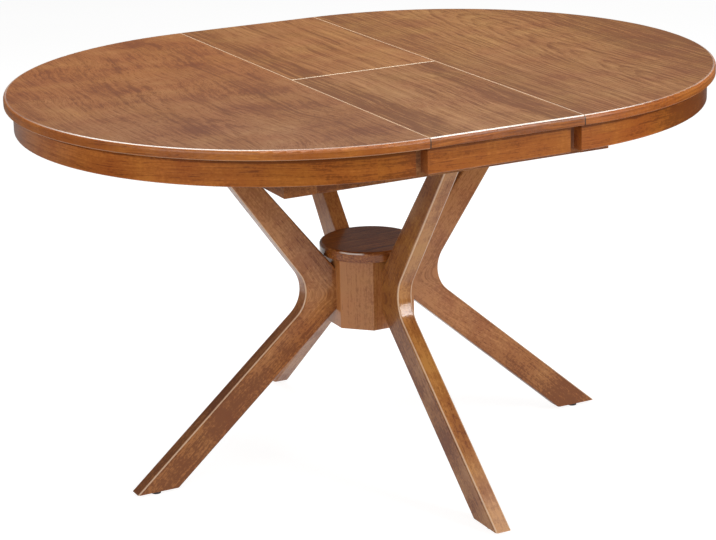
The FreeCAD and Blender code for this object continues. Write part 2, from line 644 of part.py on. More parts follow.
def left_rack(slide_y):
    slope = math.tan(math.radians(PRESSURE_ANGLE))
    half_at_pitch = PITCH / 4 - RACK_TOOTH_SLACK
    half_at_tip = half_at_pitch - TOOTH_ADDENDUM * slope
    half_at_root = half_at_pitch + TOOTH_DEDENDUM * slope
    low = GEAR_Z + FIT
    start = -RACK_TEETH_CLOSING * PITCH
    end = RACK_TEETH_OPENING * PITCH
    points = [Vec(end, slide_y + RACK_FAR, low), Vec(start, slide_y + RACK_FAR, low),
              Vec(start, slide_y + RACK_ROOT, low)]
    for tooth in range(-RACK_TEETH_CLOSING, RACK_TEETH_OPENING):
        middle = (tooth + 0.5) * PITCH
        points += [Vec(middle - half_at_root, slide_y + RACK_ROOT, low),
                   Vec(middle - half_at_tip, slide_y + RACK_TIP, low),
                   Vec(middle + half_at_tip, slide_y + RACK_TIP, low),
                   Vec(middle + half_at_root, slide_y + RACK_ROOT, low)]
    points.append(Vec(end, slide_y + RACK_ROOT, low))
    return prism(points, Vec(0, 0, GEAR_SPACE - 2 * FIT))


def involute(angle):
    return math.tan(angle) - angle


def pinion(slide_y):
    pressure = math.radians(PRESSURE_ANGLE)
    base = PITCH_RADIUS * math.cos(pressure)
    half_at_pitch = math.pi / (2 * PINION_TEETH) - PINION_TOOTH_SLACK / PITCH_RADIUS
    flank = []
    for step in range(FLANK_STEPS + 1):
        radius = base + (PINION_TIP - base) * step / FLANK_STEPS
        half = half_at_pitch + involute(pressure) - involute(math.acos(base / radius))
        flank.append((radius, half))
    flank.insert(0, (PINION_ROOT, flank[0][1]))
    low = GEAR_Z + PINION_FLOAT
    points = []
    for tooth in range(PINION_TEETH):
        middle = math.pi / 2 + tooth * 2 * math.pi / PINION_TEETH
        sides = [(radius, middle - half) for radius, half in flank]
        sides += [(radius, middle + half) for radius, half in reversed(flank)]
        points += [Vec(radius * math.cos(angle), slide_y + radius * math.sin(angle), low)
                   for radius, angle in sides]
    return prism(points, Vec(0, 0, PINION_THICKNESS)).cut(pinion_axles(FIT))


# Folding leaf hardware

def leaf_bracket():
    inner_x = BRACKET_X - BRACKET_THICKNESS
    y_low = PIVOT_Y - BRACKET_WIDTH / 2
    y_high = PIVOT_Y + BRACKET_WIDTH / 2
    plate = box(inner_x, BRACKET_X, y_low, y_high, PIVOT_Z - BRACKET_BELOW_PIN, PANEL_Z)
    flange = box(BRACKET_X - BRACKET_FLANGE, BRACKET_X, y_low, y_high, PANEL_Z - BRACKET_THICKNESS, PANEL_Z)
    bracket = plate.fuse(flange).removeSplitter()
    mirrored = bracket.mirror(CENTRE, ALONG_X)
    holes = pivot_pins(FIT) + bracket_screws(FIT)
    return mirrored.cut(holes), bracket.cut(holes)


def hinge_arc(place, inner, outer, width, start, end):
    def point(radius, degrees):
        angle = math.radians(degrees)
        return Vec(place - width / 2, -radius * math.sin(angle), HINGE_Z - radius * math.cos(angle))

    middle = (start + end) / 2
    edges = [Part.Arc(point(outer, start), point(outer, middle), point(outer, end)).toShape(),
             Part.LineSegment(point(outer, end), point(inner, end)).toShape(),
             Part.Arc(point(inner, end), point(inner, middle), point(inner, start)).toShape(),
             Part.LineSegment(point(inner, start), point(outer, start)).toShape()]
    return Part.Face(Part.Wire(edges)).extrude(Vec(width, 0, 0))


def hinge_block(place, side):
    near = side * FOLD_GAP / 2
    far = side * HINGE_LENGTH
    return box(place - HINGE_WIDTH / 2, place + HINGE_WIDTH / 2, min(near, far), max(near, far),
               HINGE_BLOCK_TOP - HINGE_HEIGHT, HINGE_BLOCK_TOP)


def rear_hinge(place):
    tongue = hinge_arc(place, HINGE_TONGUE_INNER, HINGE_TONGUE_OUTER, HINGE_TONGUE_WIDTH,
                       HINGE_TONGUE_ROOT, HINGE_TONGUE_TIP)
    return hinge_block(place, 1).fuse(tongue)


def front_hinge(place):
    slot = hinge_arc(place, HINGE_TONGUE_INNER - HINGE_SLOT_GAP, HINGE_TONGUE_OUTER + HINGE_SLOT_GAP,
                     HINGE_TONGUE_WIDTH + 2 * HINGE_SLOT_GAP, HINGE_TONGUE_ROOT, HINGE_SLOT_END)
    return hinge_block(place, -1).cut(slot)


# Pedestal
for name, angle in LEG_ANGLES.items():
    save(name, turned(leg(), angle))
save("foot_glides", foot_glides())
save("glide_nails", glide_nails())
save("hub_post", hub_post())
save("hub_cap", hub_cap())
save("hub_cap_dowels", cap_dowels())
save("hub_bolts", hub_bolts())
save("hub_washers", hub_washers())
save("hub_nuts", hub_nuts())
save_pair("frame_bar_left", "frame_bar_right", side_bar())
save_pair("frame_bar_front", "frame_bar_rear", end_bar())
save("frame_corner_blocks", corner_blocks())
save("frame_corner_screws", corner_screws())
save("leg_top_bolts", leg_bolts())
save("slide_rail_front", fixed_rail(-SLIDE_Y))
save("slide_rail_rear", fixed_rail(SLIDE_Y))
save("slide_rail_screws", fixed_rail_screws())
save("pinion_axles", pinion_axles())
save("pivot_rail_left", pivot_rail().cut(pivot_pins(FIT)))
save("pivot_rail_right", turned(pivot_rail(), 180).cut(pivot_pins(FIT)))
save("pivot_rail_dowels", rail_dowels())
save_pair("leaf_rest_front", "leaf_rest_rear", leaf_rest())
save("leaf_rest_screws", leaf_rest_screws())

# Pinions
save("front_pinion", pinion(-SLIDE_Y))
save("rear_pinion", pinion(SLIDE_Y))

# Sliding top halves: the right one is the left one turned half round
save_pair("left_top_panel", "right_top_panel", half_top())
save_pair("left_apron", "right_apron", half_apron())
save_pair("left_apron_blocks", "right_apron_blocks", apron_blocks())
save_pair("left_runner_front", "right_runner_rear", left_runner(-SLIDE_Y))
save_pair("left_runner_rear", "right_runner_front", left_runner(SLIDE_Y))
save_pair("left_rack_front", "right_rack_rear", left_rack(-SLIDE_Y))
save_pair("left_rack_rear", "right_rack_front", left_rack(SLIDE_Y))
save_pair("left_runner_screws", "right_runner_screws", runner_screws())

# Folding leaf
bracket_left, bracket_right = leaf_bracket()
save("leaf_rear_panel", leaf_panel_rear().cut(bracket_screws(FIT)))
save("leaf_front_panel", turned(leaf_panel_rear(), 180))
save_pair("leaf_rear_apron", "leaf_front_apron", leaf_apron_rear())
save_pair("leaf_rear_blocks", "leaf_front_blocks", leaf_blocks_rear())
save("leaf_bracket_left", bracket_left)
save("leaf_bracket_right", bracket_right)
save("leaf_bracket_screws", bracket_screws())
save("leaf_pivot_pins", pivot_pins())
save("leaf_hinge_rear", [rear_hinge(place) for place in HINGE_PLACES])
save("leaf_hinge_front", [front_hinge(place) for place in HINGE_PLACES])
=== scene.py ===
import math
from functools import partial
import bpy
from mathutils import Matrix, Vector


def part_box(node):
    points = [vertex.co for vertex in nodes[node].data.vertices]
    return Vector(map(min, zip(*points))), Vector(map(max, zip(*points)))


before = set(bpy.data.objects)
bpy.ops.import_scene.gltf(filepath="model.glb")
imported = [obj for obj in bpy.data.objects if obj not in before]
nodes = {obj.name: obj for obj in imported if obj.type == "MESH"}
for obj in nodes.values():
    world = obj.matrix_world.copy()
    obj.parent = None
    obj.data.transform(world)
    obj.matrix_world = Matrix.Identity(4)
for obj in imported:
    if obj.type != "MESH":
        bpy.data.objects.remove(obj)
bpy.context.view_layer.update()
print("frame loaded:", len(nodes), "pieces")

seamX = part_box("leaf_rear_panel")[1].x    # the two seams beside the leaf, in metres
panelZ, topZ = (corner.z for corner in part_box("left_top_panel"))
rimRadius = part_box("leaf_rear_panel")[1].y
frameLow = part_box("frame_bar_front")[0].z
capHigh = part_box("hub_cap")[1].z
upward = Vector((0.0, 0.0, 1.0))


# Node helpers

def feed(tree, socket, value):
    if isinstance(value, bpy.types.NodeSocket):
        tree.links.new(value, socket)
    else:
        socket.default_value = value


def addNode(tree, kind, inputs=None, **settings):
    node = tree.nodes.new("ShaderNode" + kind)
    for name, value in settings.items():
        setattr(node, name, value)
    for name, value in (inputs or {}).items():
        feed(tree, node.inputs[name], value)
    return node


def calc(tree, operation, *values):
    node = addNode(tree, "Math", operation=operation)
    for socket, value in zip(node.inputs, values):
        feed(tree, socket, value)
    return node.outputs[0]


def vectorCalc(tree, operation, *values):
    node = addNode(tree, "VectorMath", operation=operation)
    for socket, value in zip(node.inputs, values):
        feed(tree, socket, value)
    return node.outputs["Value" if operation in ("DOT_PRODUCT", "LENGTH") else "Vector"]


def product(tree, first, *others):
    for other in others:
        first = calc(tree, "MULTIPLY", first, other)
    return first


def swing(tree, value):    # a value from 0 to 1, moved so that its middle is 0
    return calc(tree, "SUBTRACT", value, 0.5)


def hypotenuse(tree, first, second):
    squares = [calc(tree, "POWER", side, 2.0) for side in (first, second)]
    return calc(tree, "SQRT", calc(tree, "ADD", *squares))


def split(tree, vector):
    return addNode(tree, "SeparateXYZ", {"Vector": vector}).outputs


def join(tree, x, y, z):
    return addNode(tree, "CombineXYZ", {"X": x, "Y": y, "Z": z}).outputs[0]


def surfaceNormal(tree):
    return addNode(tree, "NewGeometry").outputs["Normal"]


def ease(tree, value, low, high, start=0.0, end=1.0):    # smooth step from start to end
    node = addNode(tree, "MapRange", {"Value": value, "From Min": low, "From Max": high,
                                      "To Min": start, "To Max": end}, interpolation_type="SMOOTHSTEP")
    return node.outputs["Result"]


def noise(tree, vector, stretch, detail=2.0, rough=0.5):    # stretch: waves in a metre, each way
    scaled = vectorCalc(tree, "MULTIPLY", vector, stretch)
    texture = addNode(tree, "TexNoise", {"Vector": scaled, "Scale": 1.0, "Detail": detail,
                                         "Roughness": rough})
    return texture.outputs[0]


def chance(tree, number):    # a random value for each whole number
    return addNode(tree, "TexWhiteNoise", {"W": number}, noise_dimensions="1D").outputs[0]


def mixColour(tree, factor, first, second, mode="MIX"):
    node = addNode(tree, "Mix", data_type="RGBA", blend_type=mode)
    for index, value in ((0, factor), (6, first), (7, second)):    # the sockets that colours use
        feed(tree, node.inputs[index], value)
    return node.outputs[2]


def newGroup(name, inputs, outputs):
    group = bpy.data.node_groups.new(name, "ShaderNodeTree")
    for title, default in inputs.items():
        kind = "Float" if isinstance(default, float) else "Color" if len(default) == 4 else "Vector"
        socket = group.interface.new_socket(name=title, in_out="INPUT", socket_type="NodeSocket" + kind)
        socket.default_value = default
    for title, kind in outputs.items():
        group.interface.new_socket(name=title, in_out="OUTPUT", socket_type="NodeSocket" + kind)
    return group, group.nodes.new("NodeGroupInput").outputs, group.nodes.new("NodeGroupOutput").inputs


def placeGroup(tree, group, inputs):
    node = tree.nodes.new("ShaderNodeGroup")
    node.node_tree = group
    for name, value in inputs.items():
        feed(tree, node.inputs[name], value)
    return node.outputs


def grey(level):
    return (level, level, level, 1.0)


# Shared effects, each built once. A noise is given as its stretch, detail and roughness,
# and a cut as the range that is eased, with what it becomes at its two ends where that isn't 0 and 1

def gluedStavesGroup():    # boards glued side by side, each with its own tone
    group, given, out = newGroup(
        "glued staves", {"Vector": (0.0, 0.0, 0.0), "Width": 0.1, "Length": 1.0, "Seed": 0.0},
        {"Local": "Vector", "Tone": "Float"})
    place = split(group, given["Vector"])
    across = calc(group, "ADD", calc(group, "DIVIDE", place[0], given["Width"]), given["Seed"])
    column = calc(group, "FLOOR", across)
    offset = chance(group, calc(group, "ADD", column, given["Seed"]))
    along = calc(group, "ADD", calc(group, "DIVIDE", place[1], given["Length"]), offset)
    stave = join(group, column, calc(group, "FLOOR", along), given["Seed"])
    tone = addNode(group, "TexWhiteNoise", {"Vector": stave}, noise_dimensions="3D").outputs[0]
    inStave = product(group, swing(group, calc(group, "FRACT", across)), given["Width"])
    feed(group, out["Local"], join(group, inStave, place[1], place[2]))
    feed(group, out["Tone"], tone)
    return group


woodFigure = {
    "drift": ((3.0, 2.2, 3.0), 2.0), "ripple": ((70.0, 6.0, 70.0), 3.0), "band": ((14.0, 0.8, 14.0), 2.0),
    "streak": ((75.0, 1.4, 75.0), 3.0, 0.6), "fibre": ((330.0, 3.0, 330.0), 2.0, 0.6),
    "cloud": ((9.0, 13.0, 9.0), 3.0, 0.55), "speckle": ((210.0, 150.0, 210.0), 3.0, 0.7),
    "pore": ((800.0, 22.0, 800.0), 1.0), "poreCut": (0.57, 0.7), "step": (17.3, 31.7, 7.9),
    "swayThrough": 0.6, "rippleYears": 0.8, "lateCut": (0.25, 0.9), "yearEndCut": (0.92, 1.0, 1.0, 0.0),
    "weakestYear": 0.2, "hueSpread": 0.02, "fibreDull": 0.12, "poreDull": 0.1, "fibreRelief": 0.35,
    "poreRelief": -0.8, "ringRelief": 0.2, "filledCut": (0.1, 0.8, 0.4, 1.0)}


def growthRings(group, given, moved, sway):    # about a heart line that slopes through the board
    place = split(group, vectorCalc(group, "ADD", given["Vector"], sway))
    sideways = calc(group, "SUBTRACT", place[0], given["Heart"])
    slope = calc(group, "MULTIPLY_ADD", place[1], given["Taper"], given["Depth"])
    radius = hypotenuse(group, sideways, calc(group, "ADD", slope, place[2]))
    ripple = swing(group, noise(group, moved, *woodFigure["ripple"]))
    rippled = product(group, ripple, woodFigure["rippleYears"])
    years = calc(group, "MULTIPLY_ADD", radius, given["Rings"], rippled)
    season = calc(group, "FRACT", years)
    late = product(group, ease(group, season, *woodFigure["lateCut"]),
                   ease(group, season, *woodFigure["yearEndCut"]))
    strength = chance(group, calc(group, "ADD", calc(group, "FLOOR", years), given["Shift"]))
    weakest = woodFigure["weakestYear"]
    return product(group, late, calc(group, "MULTIPLY_ADD", strength, 1.0 - weakest, weakest))


def stainedWoodGroup():    # rings, bands, streaks, fibres, clouds, specks and pores of a stained board
    group, given, out = newGroup(
        "stained wood",
        {"Vector": (0.0, 0.0, 0.0), "Shift": 0.0, "Shade": 0.0, "Heart": 0.0, "Depth": 0.05, "Taper": 0.03,
         "Rings": 150.0, "Wander": 0.02, "Ring Depth": 0.3, "Band Depth": 0.4, "Streak Depth": 0.5,
         "Fibre Depth": 0.5, "Pore Depth": 0.2, "Cloud Depth": 0.3, "Speckle Depth": 0.2, "Gloss": 0.35,
         "Dark": (0.1, 0.03, 0.01, 1.0), "Middle": (0.3, 0.09, 0.02, 1.0), "Light": (0.4, 0.14, 0.03, 1.0)},
        {"Color": "Color", "Roughness": "Float", "Height": "Float", "Filled": "Float"})
    step = join(group, *(product(group, given["Shift"], length) for length in woodFigure["step"]))
    moved = vectorCalc(group, "ADD", given["Vector"], step)
    drift = product(group, swing(group, noise(group, moved, *woodFigure["drift"])), given["Wander"])
    sway = join(group, drift, 0.0, product(group, drift, woodFigure["swayThrough"]))
    bent = vectorCalc(group, "ADD", moved, sway)
    rings = growthRings(group, given, moved, sway)
    pores = ease(group, noise(group, bent, *woodFigure["pore"]), *woodFigure["poreCut"])
    marks = {name: noise(group, bent, *woodFigure[name]) for name in ("band", "streak", "fibre", "cloud")}
    marks["speckle"] = noise(group, moved, *woodFigure["speckle"])
    tone = calc(group, "ADD", given["Shade"], 0.5)
    for name, mark in marks.items():
        fullSwing = product(group, swing(group, mark), 2.0)
        tone = calc(group, "MULTIPLY_ADD", fullSwing, given[name.capitalize() + " Depth"], tone)
    for mark, depth in ((rings, "Ring Depth"), (pores, "Pore Depth")):
        tone = calc(group, "SUBTRACT", tone, product(group, mark, given[depth]))
    lower = mixColour(group, ease(group, tone, 0.0, 0.5), given["Dark"], given["Middle"])
    colour = mixColour(group, ease(group, tone, 0.5, 1.0), lower, given["Light"])
    hue = calc(group, "MULTIPLY_ADD", swing(group, marks["cloud"]), woodFigure["hueSpread"], 0.5)
    feed(group, out["Color"], addNode(group, "HueSaturation", {"Hue": hue, "Color": colour}).outputs[0])
    dull = calc(group, "MULTIPLY_ADD", swing(group, marks["fibre"]), woodFigure["fibreDull"],
                given["Gloss"])
    feed(group, out["Roughness"], calc(group, "MULTIPLY_ADD", pores, woodFigure["poreDull"], dull))
    relief = calc(group, "MULTIPLY_ADD", marks["fibre"], woodFigure["fibreRelief"],
                  product(group, pores, woodFigure["poreRelief"]))
    feed(group, out["Height"], calc(group, "MULTIPLY_ADD", rings, woodFigure["ringRelief"], relief))
    filled = ease(group, tone, *woodFigure["filledCut"])    # lacquer sinks into dark, open grain
    feed(group, out["Filled"], filled)
    return group


rubFigure = {"samples": 6, "sharpCut": (0.995, 0.86), "upwardCut": (-0.1, 0.4, 0.15, 1.0),
             "patch": ((26.0, 26.0, 26.0), 3.0), "patchCut": (0.3, 0.65)}


def edgeRubGroup():    # finish rubbed thin where an edge is handled
    group, given, out = newGroup(
        "edge rub", {"Vector": (0.0, 0.0, 0.0), "Reach": 0.004, "Break": 0.4}, {"Mask": "Float"})
    soft = addNode(group, "Bevel", {"Radius": given["Reach"]}, samples=rubFigure["samples"]).outputs[0]
    facing = vectorCalc(group, "DOT_PRODUCT", soft, surfaceNormal(group))
    edge = product(group, ease(group, facing, *rubFigure["sharpCut"]),
                   ease(group, split(group, soft)[2], *rubFigure["upwardCut"]))
    patchy = ease(group, noise(group, given["Vector"], *rubFigure["patch"]), *rubFigure["patchCut"])
    kept = calc(group, "SUBTRACT", 1.0, given["Break"])
    broken = calc(group, "MULTIPLY_ADD", patchy, given["Break"], kept)
    feed(group, out["Mask"], product(group, edge, broken))
    return group


lacquerFigure = {"wave": ((55.0, 55.0, 55.0), 1.0), "waveHigh": 0.002, "grainHigh": 0.0006,
                 "haze": ((8.0, 8.0, 8.0), 3.0), "hazeCut": (0.25, 0.75, 0.8, 1.0)}


def lacquerGroup():    # brushed-out lacquer: faint waviness over the grain, and hazy patches in the gloss
    group, given, out = newGroup(
        "lacquer", {"Vector": (0.0, 0.0, 0.0), "Height": 0.5, "Grain": 0.1, "Wave": 0.05},
        {"Normal": "Vector", "Coat": "Float"})
    wave = noise(group, given["Vector"], *lacquerFigure["wave"])
    grain = addNode(group, "Bump", {"Height": given["Height"], "Strength": given["Grain"],
                                    "Distance": lacquerFigure["grainHigh"]})
    skin = addNode(group, "Bump", {"Height": wave, "Strength": given["Wave"],
                                   "Distance": lacquerFigure["waveHigh"], "Normal": grain.outputs[0]})
    haze = noise(group, given["Vector"], *lacquerFigure["haze"])
    feed(group, out["Normal"], skin.outputs[0])
    feed(group, out["Coat"], ease(group, haze, *lacquerFigure["hazeCut"]))
    return group


metalFigure = {"cloud": ((180.0, 180.0, 180.0), 4.0, 0.6), "cloudCut": (0.35, 0.7), "cloudDull": 0.3,
               "scratch": ((90.0, 2200.0, 2200.0), 2.0), "scratchHigh": 0.0002}


def wornMetalGroup():    # metal or plastic: dulled colour, fine scratches
    group, given, out = newGroup(
        "worn metal", {"Vector": (0.0, 0.0, 0.0), "Bright": grey(0.6), "Dull": grey(0.3), "Gloss": 0.35},
        {"Color": "Color", "Roughness": "Float", "Height": "Float"})
    cloud = noise(group, given["Vector"], *metalFigure["cloud"])
    dulled = ease(group, cloud, *metalFigure["cloudCut"])
    rough = calc(group, "MULTIPLY_ADD", swing(group, cloud), metalFigure["cloudDull"], given["Gloss"])
    feed(group, out["Color"], mixColour(group, dulled, given["Bright"], given["Dull"]))
    feed(group, out["Roughness"], rough)
    feed(group, out["Height"], noise(group, given["Vector"], *metalFigure["scratch"]))
    return group


gluedStaves = gluedStavesGroup()
stainedWood = stainedWoodGroup()
edgeRub = edgeRubGroup()
lacquer = lacquerGroup()
wornMetal = wornMetalGroup()
print("shared effects built:", len(bpy.data.node_groups))


# Which way the grain runs on a piece: Y of the returned vector is along it

alongX = (1, 0, 2)    # which coordinates are taken across, along and through the board
alongY = (0, 1, 2)
alongZ = (0, 2, 1)
alongXOnEdge = (2, 0, 1)
rimRun = 0.5    # metres of grain to each radian round the rim
legBend = {"reach": 0.1235, "height": 0.341, "blend": 0.03,    # metres
           "upperAngle": 55.0, "lowerAngle": -41.0}    # degrees above level


def grainStraight(tree, place, order):
    parts = split(tree, place)
    return join(tree, *(parts[index] for index in order))


def grainAroundRim(tree, place, side):
    parts = split(tree, place)
    fromCentre = calc(tree, "SUBTRACT", parts[0], side * seamX)
    angle = calc(tree, "ARCTAN2", parts[1], product(tree, fromCentre, side))
    return join(tree, parts[2], product(tree, angle, rimRun), hypotenuse(tree, fromCentre, parts[1]))


def grainAlongLeg(tree, place, outward):
    fromBend = vectorCalc(tree, "SUBTRACT", place, outward * legBend["reach"] + upward * legBend["height"])

    def alongArm(angle, mirror):
        turn = math.radians(angle)
        run = outward * math.cos(turn) + upward * math.sin(turn)
        square = (upward * math.cos(turn) - outward * math.sin(turn)) * mirror
        ways = (square, run, upward.cross(outward))
        return join(tree, *(vectorCalc(tree, "DOT_PRODUCT", fromBend, way) for way in ways))

    middle = math.radians((legBend["upperAngle"] + legBend["lowerAngle"]) / 2 + 90)
    across = outward * math.cos(middle) + upward * math.sin(middle)
    above = vectorCalc(tree, "DOT_PRODUCT", fromBend, across)
    share = ease(tree, above, -legBend["blend"], legBend["blend"])
    mixed = addNode(tree, "Mix", data_type="VECTOR")
    arms = (alongArm(legBend["lowerAngle"], -1.0), alongArm(legBend["upperAngle"], 1.0))
    for index, value in ((0, share), (4, arms[0]), (5, arms[1])):    # the sockets that vectors use
        feed(tree, mixed.inputs[index], value)
    return mixed.outputs[1]


# Materials

def newMaterial(name):
    material = bpy.data.materials.new(name)
    material.use_nodes = True
    tree = material.node_tree
    shader = next(node for node in tree.nodes if node.type == "BSDF_PRINCIPLED")
    place = addNode(tree, "TexCoord").outputs["Object"]
    return material, tree, shader, place


def paint(nodeName, material):
    node = nodes[nodeName]
    node.data.materials.clear()
    node.data.materials.append(material)


def titled(nodeName, stuff):
    return nodeName.replace("_", " ") + " " + stuff


brownWood = {
    "dark": (0.19, 0.056, 0.0105, 1.0), "middle": (0.345, 0.117, 0.0225, 1.0),
    "light": (0.48, 0.182, 0.04, 1.0), "edge": (0.68, 0.4, 0.22, 1.0), "staveWidth": 0.17,
    "staveLength": 0.9, "toneDepth": 0.2, "heart": 0.02, "depth": 0.035, "taper": 0.05, "rings": 160.0,
    "wander": 0.05, "ringDepth": 0.25, "bandDepth": 0.2, "streakDepth": 0.45, "fibreDepth": 0.85,
    "poreDepth": 0.4, "cloudDepth": 0.2, "speckleDepth": 0.25, "gloss": 0.36, "edgeReach": 0.0035,
    "edgeRub": 0.4, "edgeBreak": 0.5, "grainRelief": 0.1, "wave": 0.05, "coat": 1.0, "coatRoughness": 0.12,
    "bareShine": 0.2}
saturated = {"dark": (0.19, 0.051, 0.008, 1.0), "middle": (0.355, 0.102, 0.015, 1.0),
             "light": (0.5, 0.16, 0.027, 1.0)}


def figure(tree, grain, look, seed, shade):
    return placeGroup(tree, stainedWood, {
        "Vector": grain, "Shift": seed, "Shade": shade, "Heart": look["heart"], "Depth": look["depth"],
        "Taper": look["taper"], "Rings": look["rings"], "Wander": look["wander"],
        "Ring Depth": look["ringDepth"], "Band Depth": look["bandDepth"],
        "Streak Depth": look["streakDepth"], "Fibre Depth": look["fibreDepth"],
        "Pore Depth": look["poreDepth"], "Cloud Depth": look["cloudDepth"],
        "Speckle Depth": look["speckleDepth"], "Gloss": look["gloss"], "Dark": look["dark"],
        "Middle": look["middle"], "Light": look["light"]})


def finishWood(tree, shader, place, wood, colour, look):
    rub = placeGroup(tree, edgeRub, {"Vector": place, "Reach": look["edgeReach"],
                                     "Break": look["edgeBreak"]})
    rubbed = mixColour(tree, product(tree, rub["Mask"], look["edgeRub"]), colour, look["edge"])
    skin = placeGroup(tree, lacquer, {"Vector": place, "Height": wood["Height"],
                                      "Grain": look["grainRelief"], "Wave": look["wave"]})
    feed(tree, shader.inputs["Base Color"], rubbed)
    feed(tree, shader.inputs["Roughness"], wood["Roughness"])
    feed(tree, shader.inputs["Normal"], skin["Normal"])
    feed(tree, shader.inputs["Coat Weight"], product(tree, skin["Coat"], wood["Filled"], look["coat"]))
    shader.inputs["Coat Roughness"].default_value = look["coatRoughness"]
    shader.inputs["Specular IOR Level"].default_value = look["bareShine"]


def boardMaterial(name, grain, way, look, highlightLine=None):    # way: what the grain function follows
    material, tree, shader, place = newMaterial(name)
    parts = split(tree, place)
    staves = placeGroup(tree, gluedStaves, {"Vector": grain(tree, place, way), "Width": look["staveWidth"],
                                            "Length": look["staveLength"], "Seed": look["seed"]})
    shade = product(tree, swing(tree, staves["Tone"]), look["toneDepth"])
    if "rise" in look:    # darker or lighter from one height to another: painted shadow under the top on the aprons, painted shade on the frame bars and cap, painted light lifting the legs' upper arms
        shade = calc(tree, "ADD", shade, ease(tree, parts[2], *look["rise"], *look["riseShade"]))
    if "along" in look:    # darker or lighter from left to right; on the front leg, painted shade on its left side face
        shade = calc(tree, "ADD", shade, ease(tree, parts[0], *look["along"], *look["alongShade"]))
    wood = figure(tree, staves["Local"], look, calc(tree, "ADD", staves["Tone"], look["seed"]), shade)
    colour = wood["Color"]
    # a painted highlight line, on the legs' outer edges and on the cap's rounding
    if highlightLine:
        highlightMask = product(tree, highlightLine(tree, place), look["highlightAmount"])
        colour = mixColour(tree, highlightMask, colour, look["highlightColour"])
    finishWood(tree, shader, place, wood, colour, look)
    if "flatCoat" in look:    # less gloss on the level face than on its edge
        tilt = split(tree, surfaceNormal(tree))[2]
        coat = ease(tree, tilt, *look["flatTilt"], look["coat"], look["flatCoat"])
        feed(tree, shader.inputs["Coat Weight"], coat)
    return material


# Veneered tops and leaf halves: grain runs front to back on all four, solid lipping runs round the edge

satin = {"coat": 0.85, "coatRoughness": 0.42}    # rubbed down on the broad faces
yellower = {"middle": (0.345, 0.123, 0.027, 1.0), "light": (0.48, 0.19, 0.047, 1.0)}
veneerLooks = {
    "left_top_panel": {
        "seed": 1.3, "heart": -0.4, "depth": 0.06 - topZ, "taper": 0.1, "rings": 90.0, "wander": 0.16,
        "ringDepth": 0.2, "streakDepth": 0.3, "fibreDepth": 0.5, "cloudDepth": 0.5, "bandAt": -0.24,
        "bandWide": 0.06, "bandShade": -0.14, "panelShade": -0.04, "lipShade": 0.05,
        "nearTint": (0.83, 0.9, 1.22, 1.0), "farTint": (0.96, 0.92, 0.82, 1.0)},
    "right_top_panel": {
        "seed": 4.7, "heart": 0.43, "depth": 0.08 - topZ, "taper": 0.12, "rings": 120.0, "ringDepth": 0.36,
        "bandAt": 0.18, "bandWide": 0.05, "bandShade": -0.2, "panelShade": -0.06, "lipShade": 0.0,
        "along": (0.42, 0.64), "alongShade": (0.02, -0.2), "nearTint": (0.87, 0.97, 1.16, 1.0),
        "farTint": (0.99, 1.13, 1.25, 1.0), **yellower},
    "leaf_rear_panel": {
        "seed": 7.2, "streakDepth": 0.65, "ringDepth": 0.15, "bandAt": -0.125, "bandWide": 0.05,
        "bandShade": -0.34, "panelShade": 0.04, "lipShade": -0.2, "nearTint": (0.93, 1.02, 1.12, 1.0),
        "farTint": (0.96, 1.02, 1.02, 1.0), **yellower},
    "leaf_front_panel": {
        "seed": 9.4, "streakDepth": 0.65, "ringDepth": 0.15, "bandAt": 0.125, "bandWide": 0.045,
        "bandShade": -0.34, "panelShade": 0.04, "bothSides": True, "lipShade": -0.2,
        "nearTint": (0.9, 1.02, 1.27, 1.0), "farTint": (0.92, 1.02, 1.15, 1.0), **yellower}}
tintReach = (-0.35, 0.35)    # the tint changes from the front to the back: painted sheen and light, matching the haze and brightness on the lit top
bandEdge = {"wander": ((7.0, 3.0, 7.0), 3.0),
            "sway": 2.0, "core": 0.3, "fade": 1.3}    # in widths of the band
# colour and foldColour: painted highlights, pale lines where the seam and fold edges catch light; gapColour:
# the dark joint down the lipping
seamLine = {"width": 0.0014, "foldWidth": 0.0022, "core": 0.7, "depth": 0.0014,
            "colour": (0.7, 0.5, 0.34, 1.0), "foldColour": (0.86, 0.7, 0.52, 1.0),
            "gapColour": (0.05, 0.02, 0.01, 1.0)}
rimLine = {    # upright, soft and top: angles on the rounding; front: where the painted highlight line gains strength; the colour keys give the painted highlights, on the rounding and along the lipping's foot
    "round": 0.006, "start": (0.0, 0.002), "upright": (1.3, 1.1), "soft": 0.12, "top": (1.5, 1.42),
    "footHighlight": (0.0024, 0.001), "patch": ((9.0, 9.0, 9.0), 2.0), "patchCut": (0.25, 0.6, 0.85, 1.0),
    "front": (0.05, -0.2), "backShare": 0.3, "lipSeed": 3.1, "colour": (0.97, 0.9, 0.83, 1.0),
    "footHighlightColour": (0.6, 0.33, 0.18, 1.0)}
rimHighlights = {    # the painted highlights on each rim: below: where the line ends, as such an angle; low: the strength of the painted highlight along the foot; fadeIn and fadeOut: from left to right
    "left": {"amount": 0.9, "below": 0.95, "low": 0.5, "fadeIn": (-0.685, -0.635), "fadeOut": (-0.5, -0.33),
             "faint": 0.3},
    "right": {"amount": 0.85, "below": 0.9, "low": 0.0, "fadeIn": (0.0, 0.1), "fadeOut": (0.2, 0.34),
              "faint": 0.22},
    "leaf": {"amount": 0.95, "below": 0.78, "low": 0.0, "fadeIn": (-0.3, -0.2), "fadeOut": (0.2, 0.3),
             "faint": 0.0}}


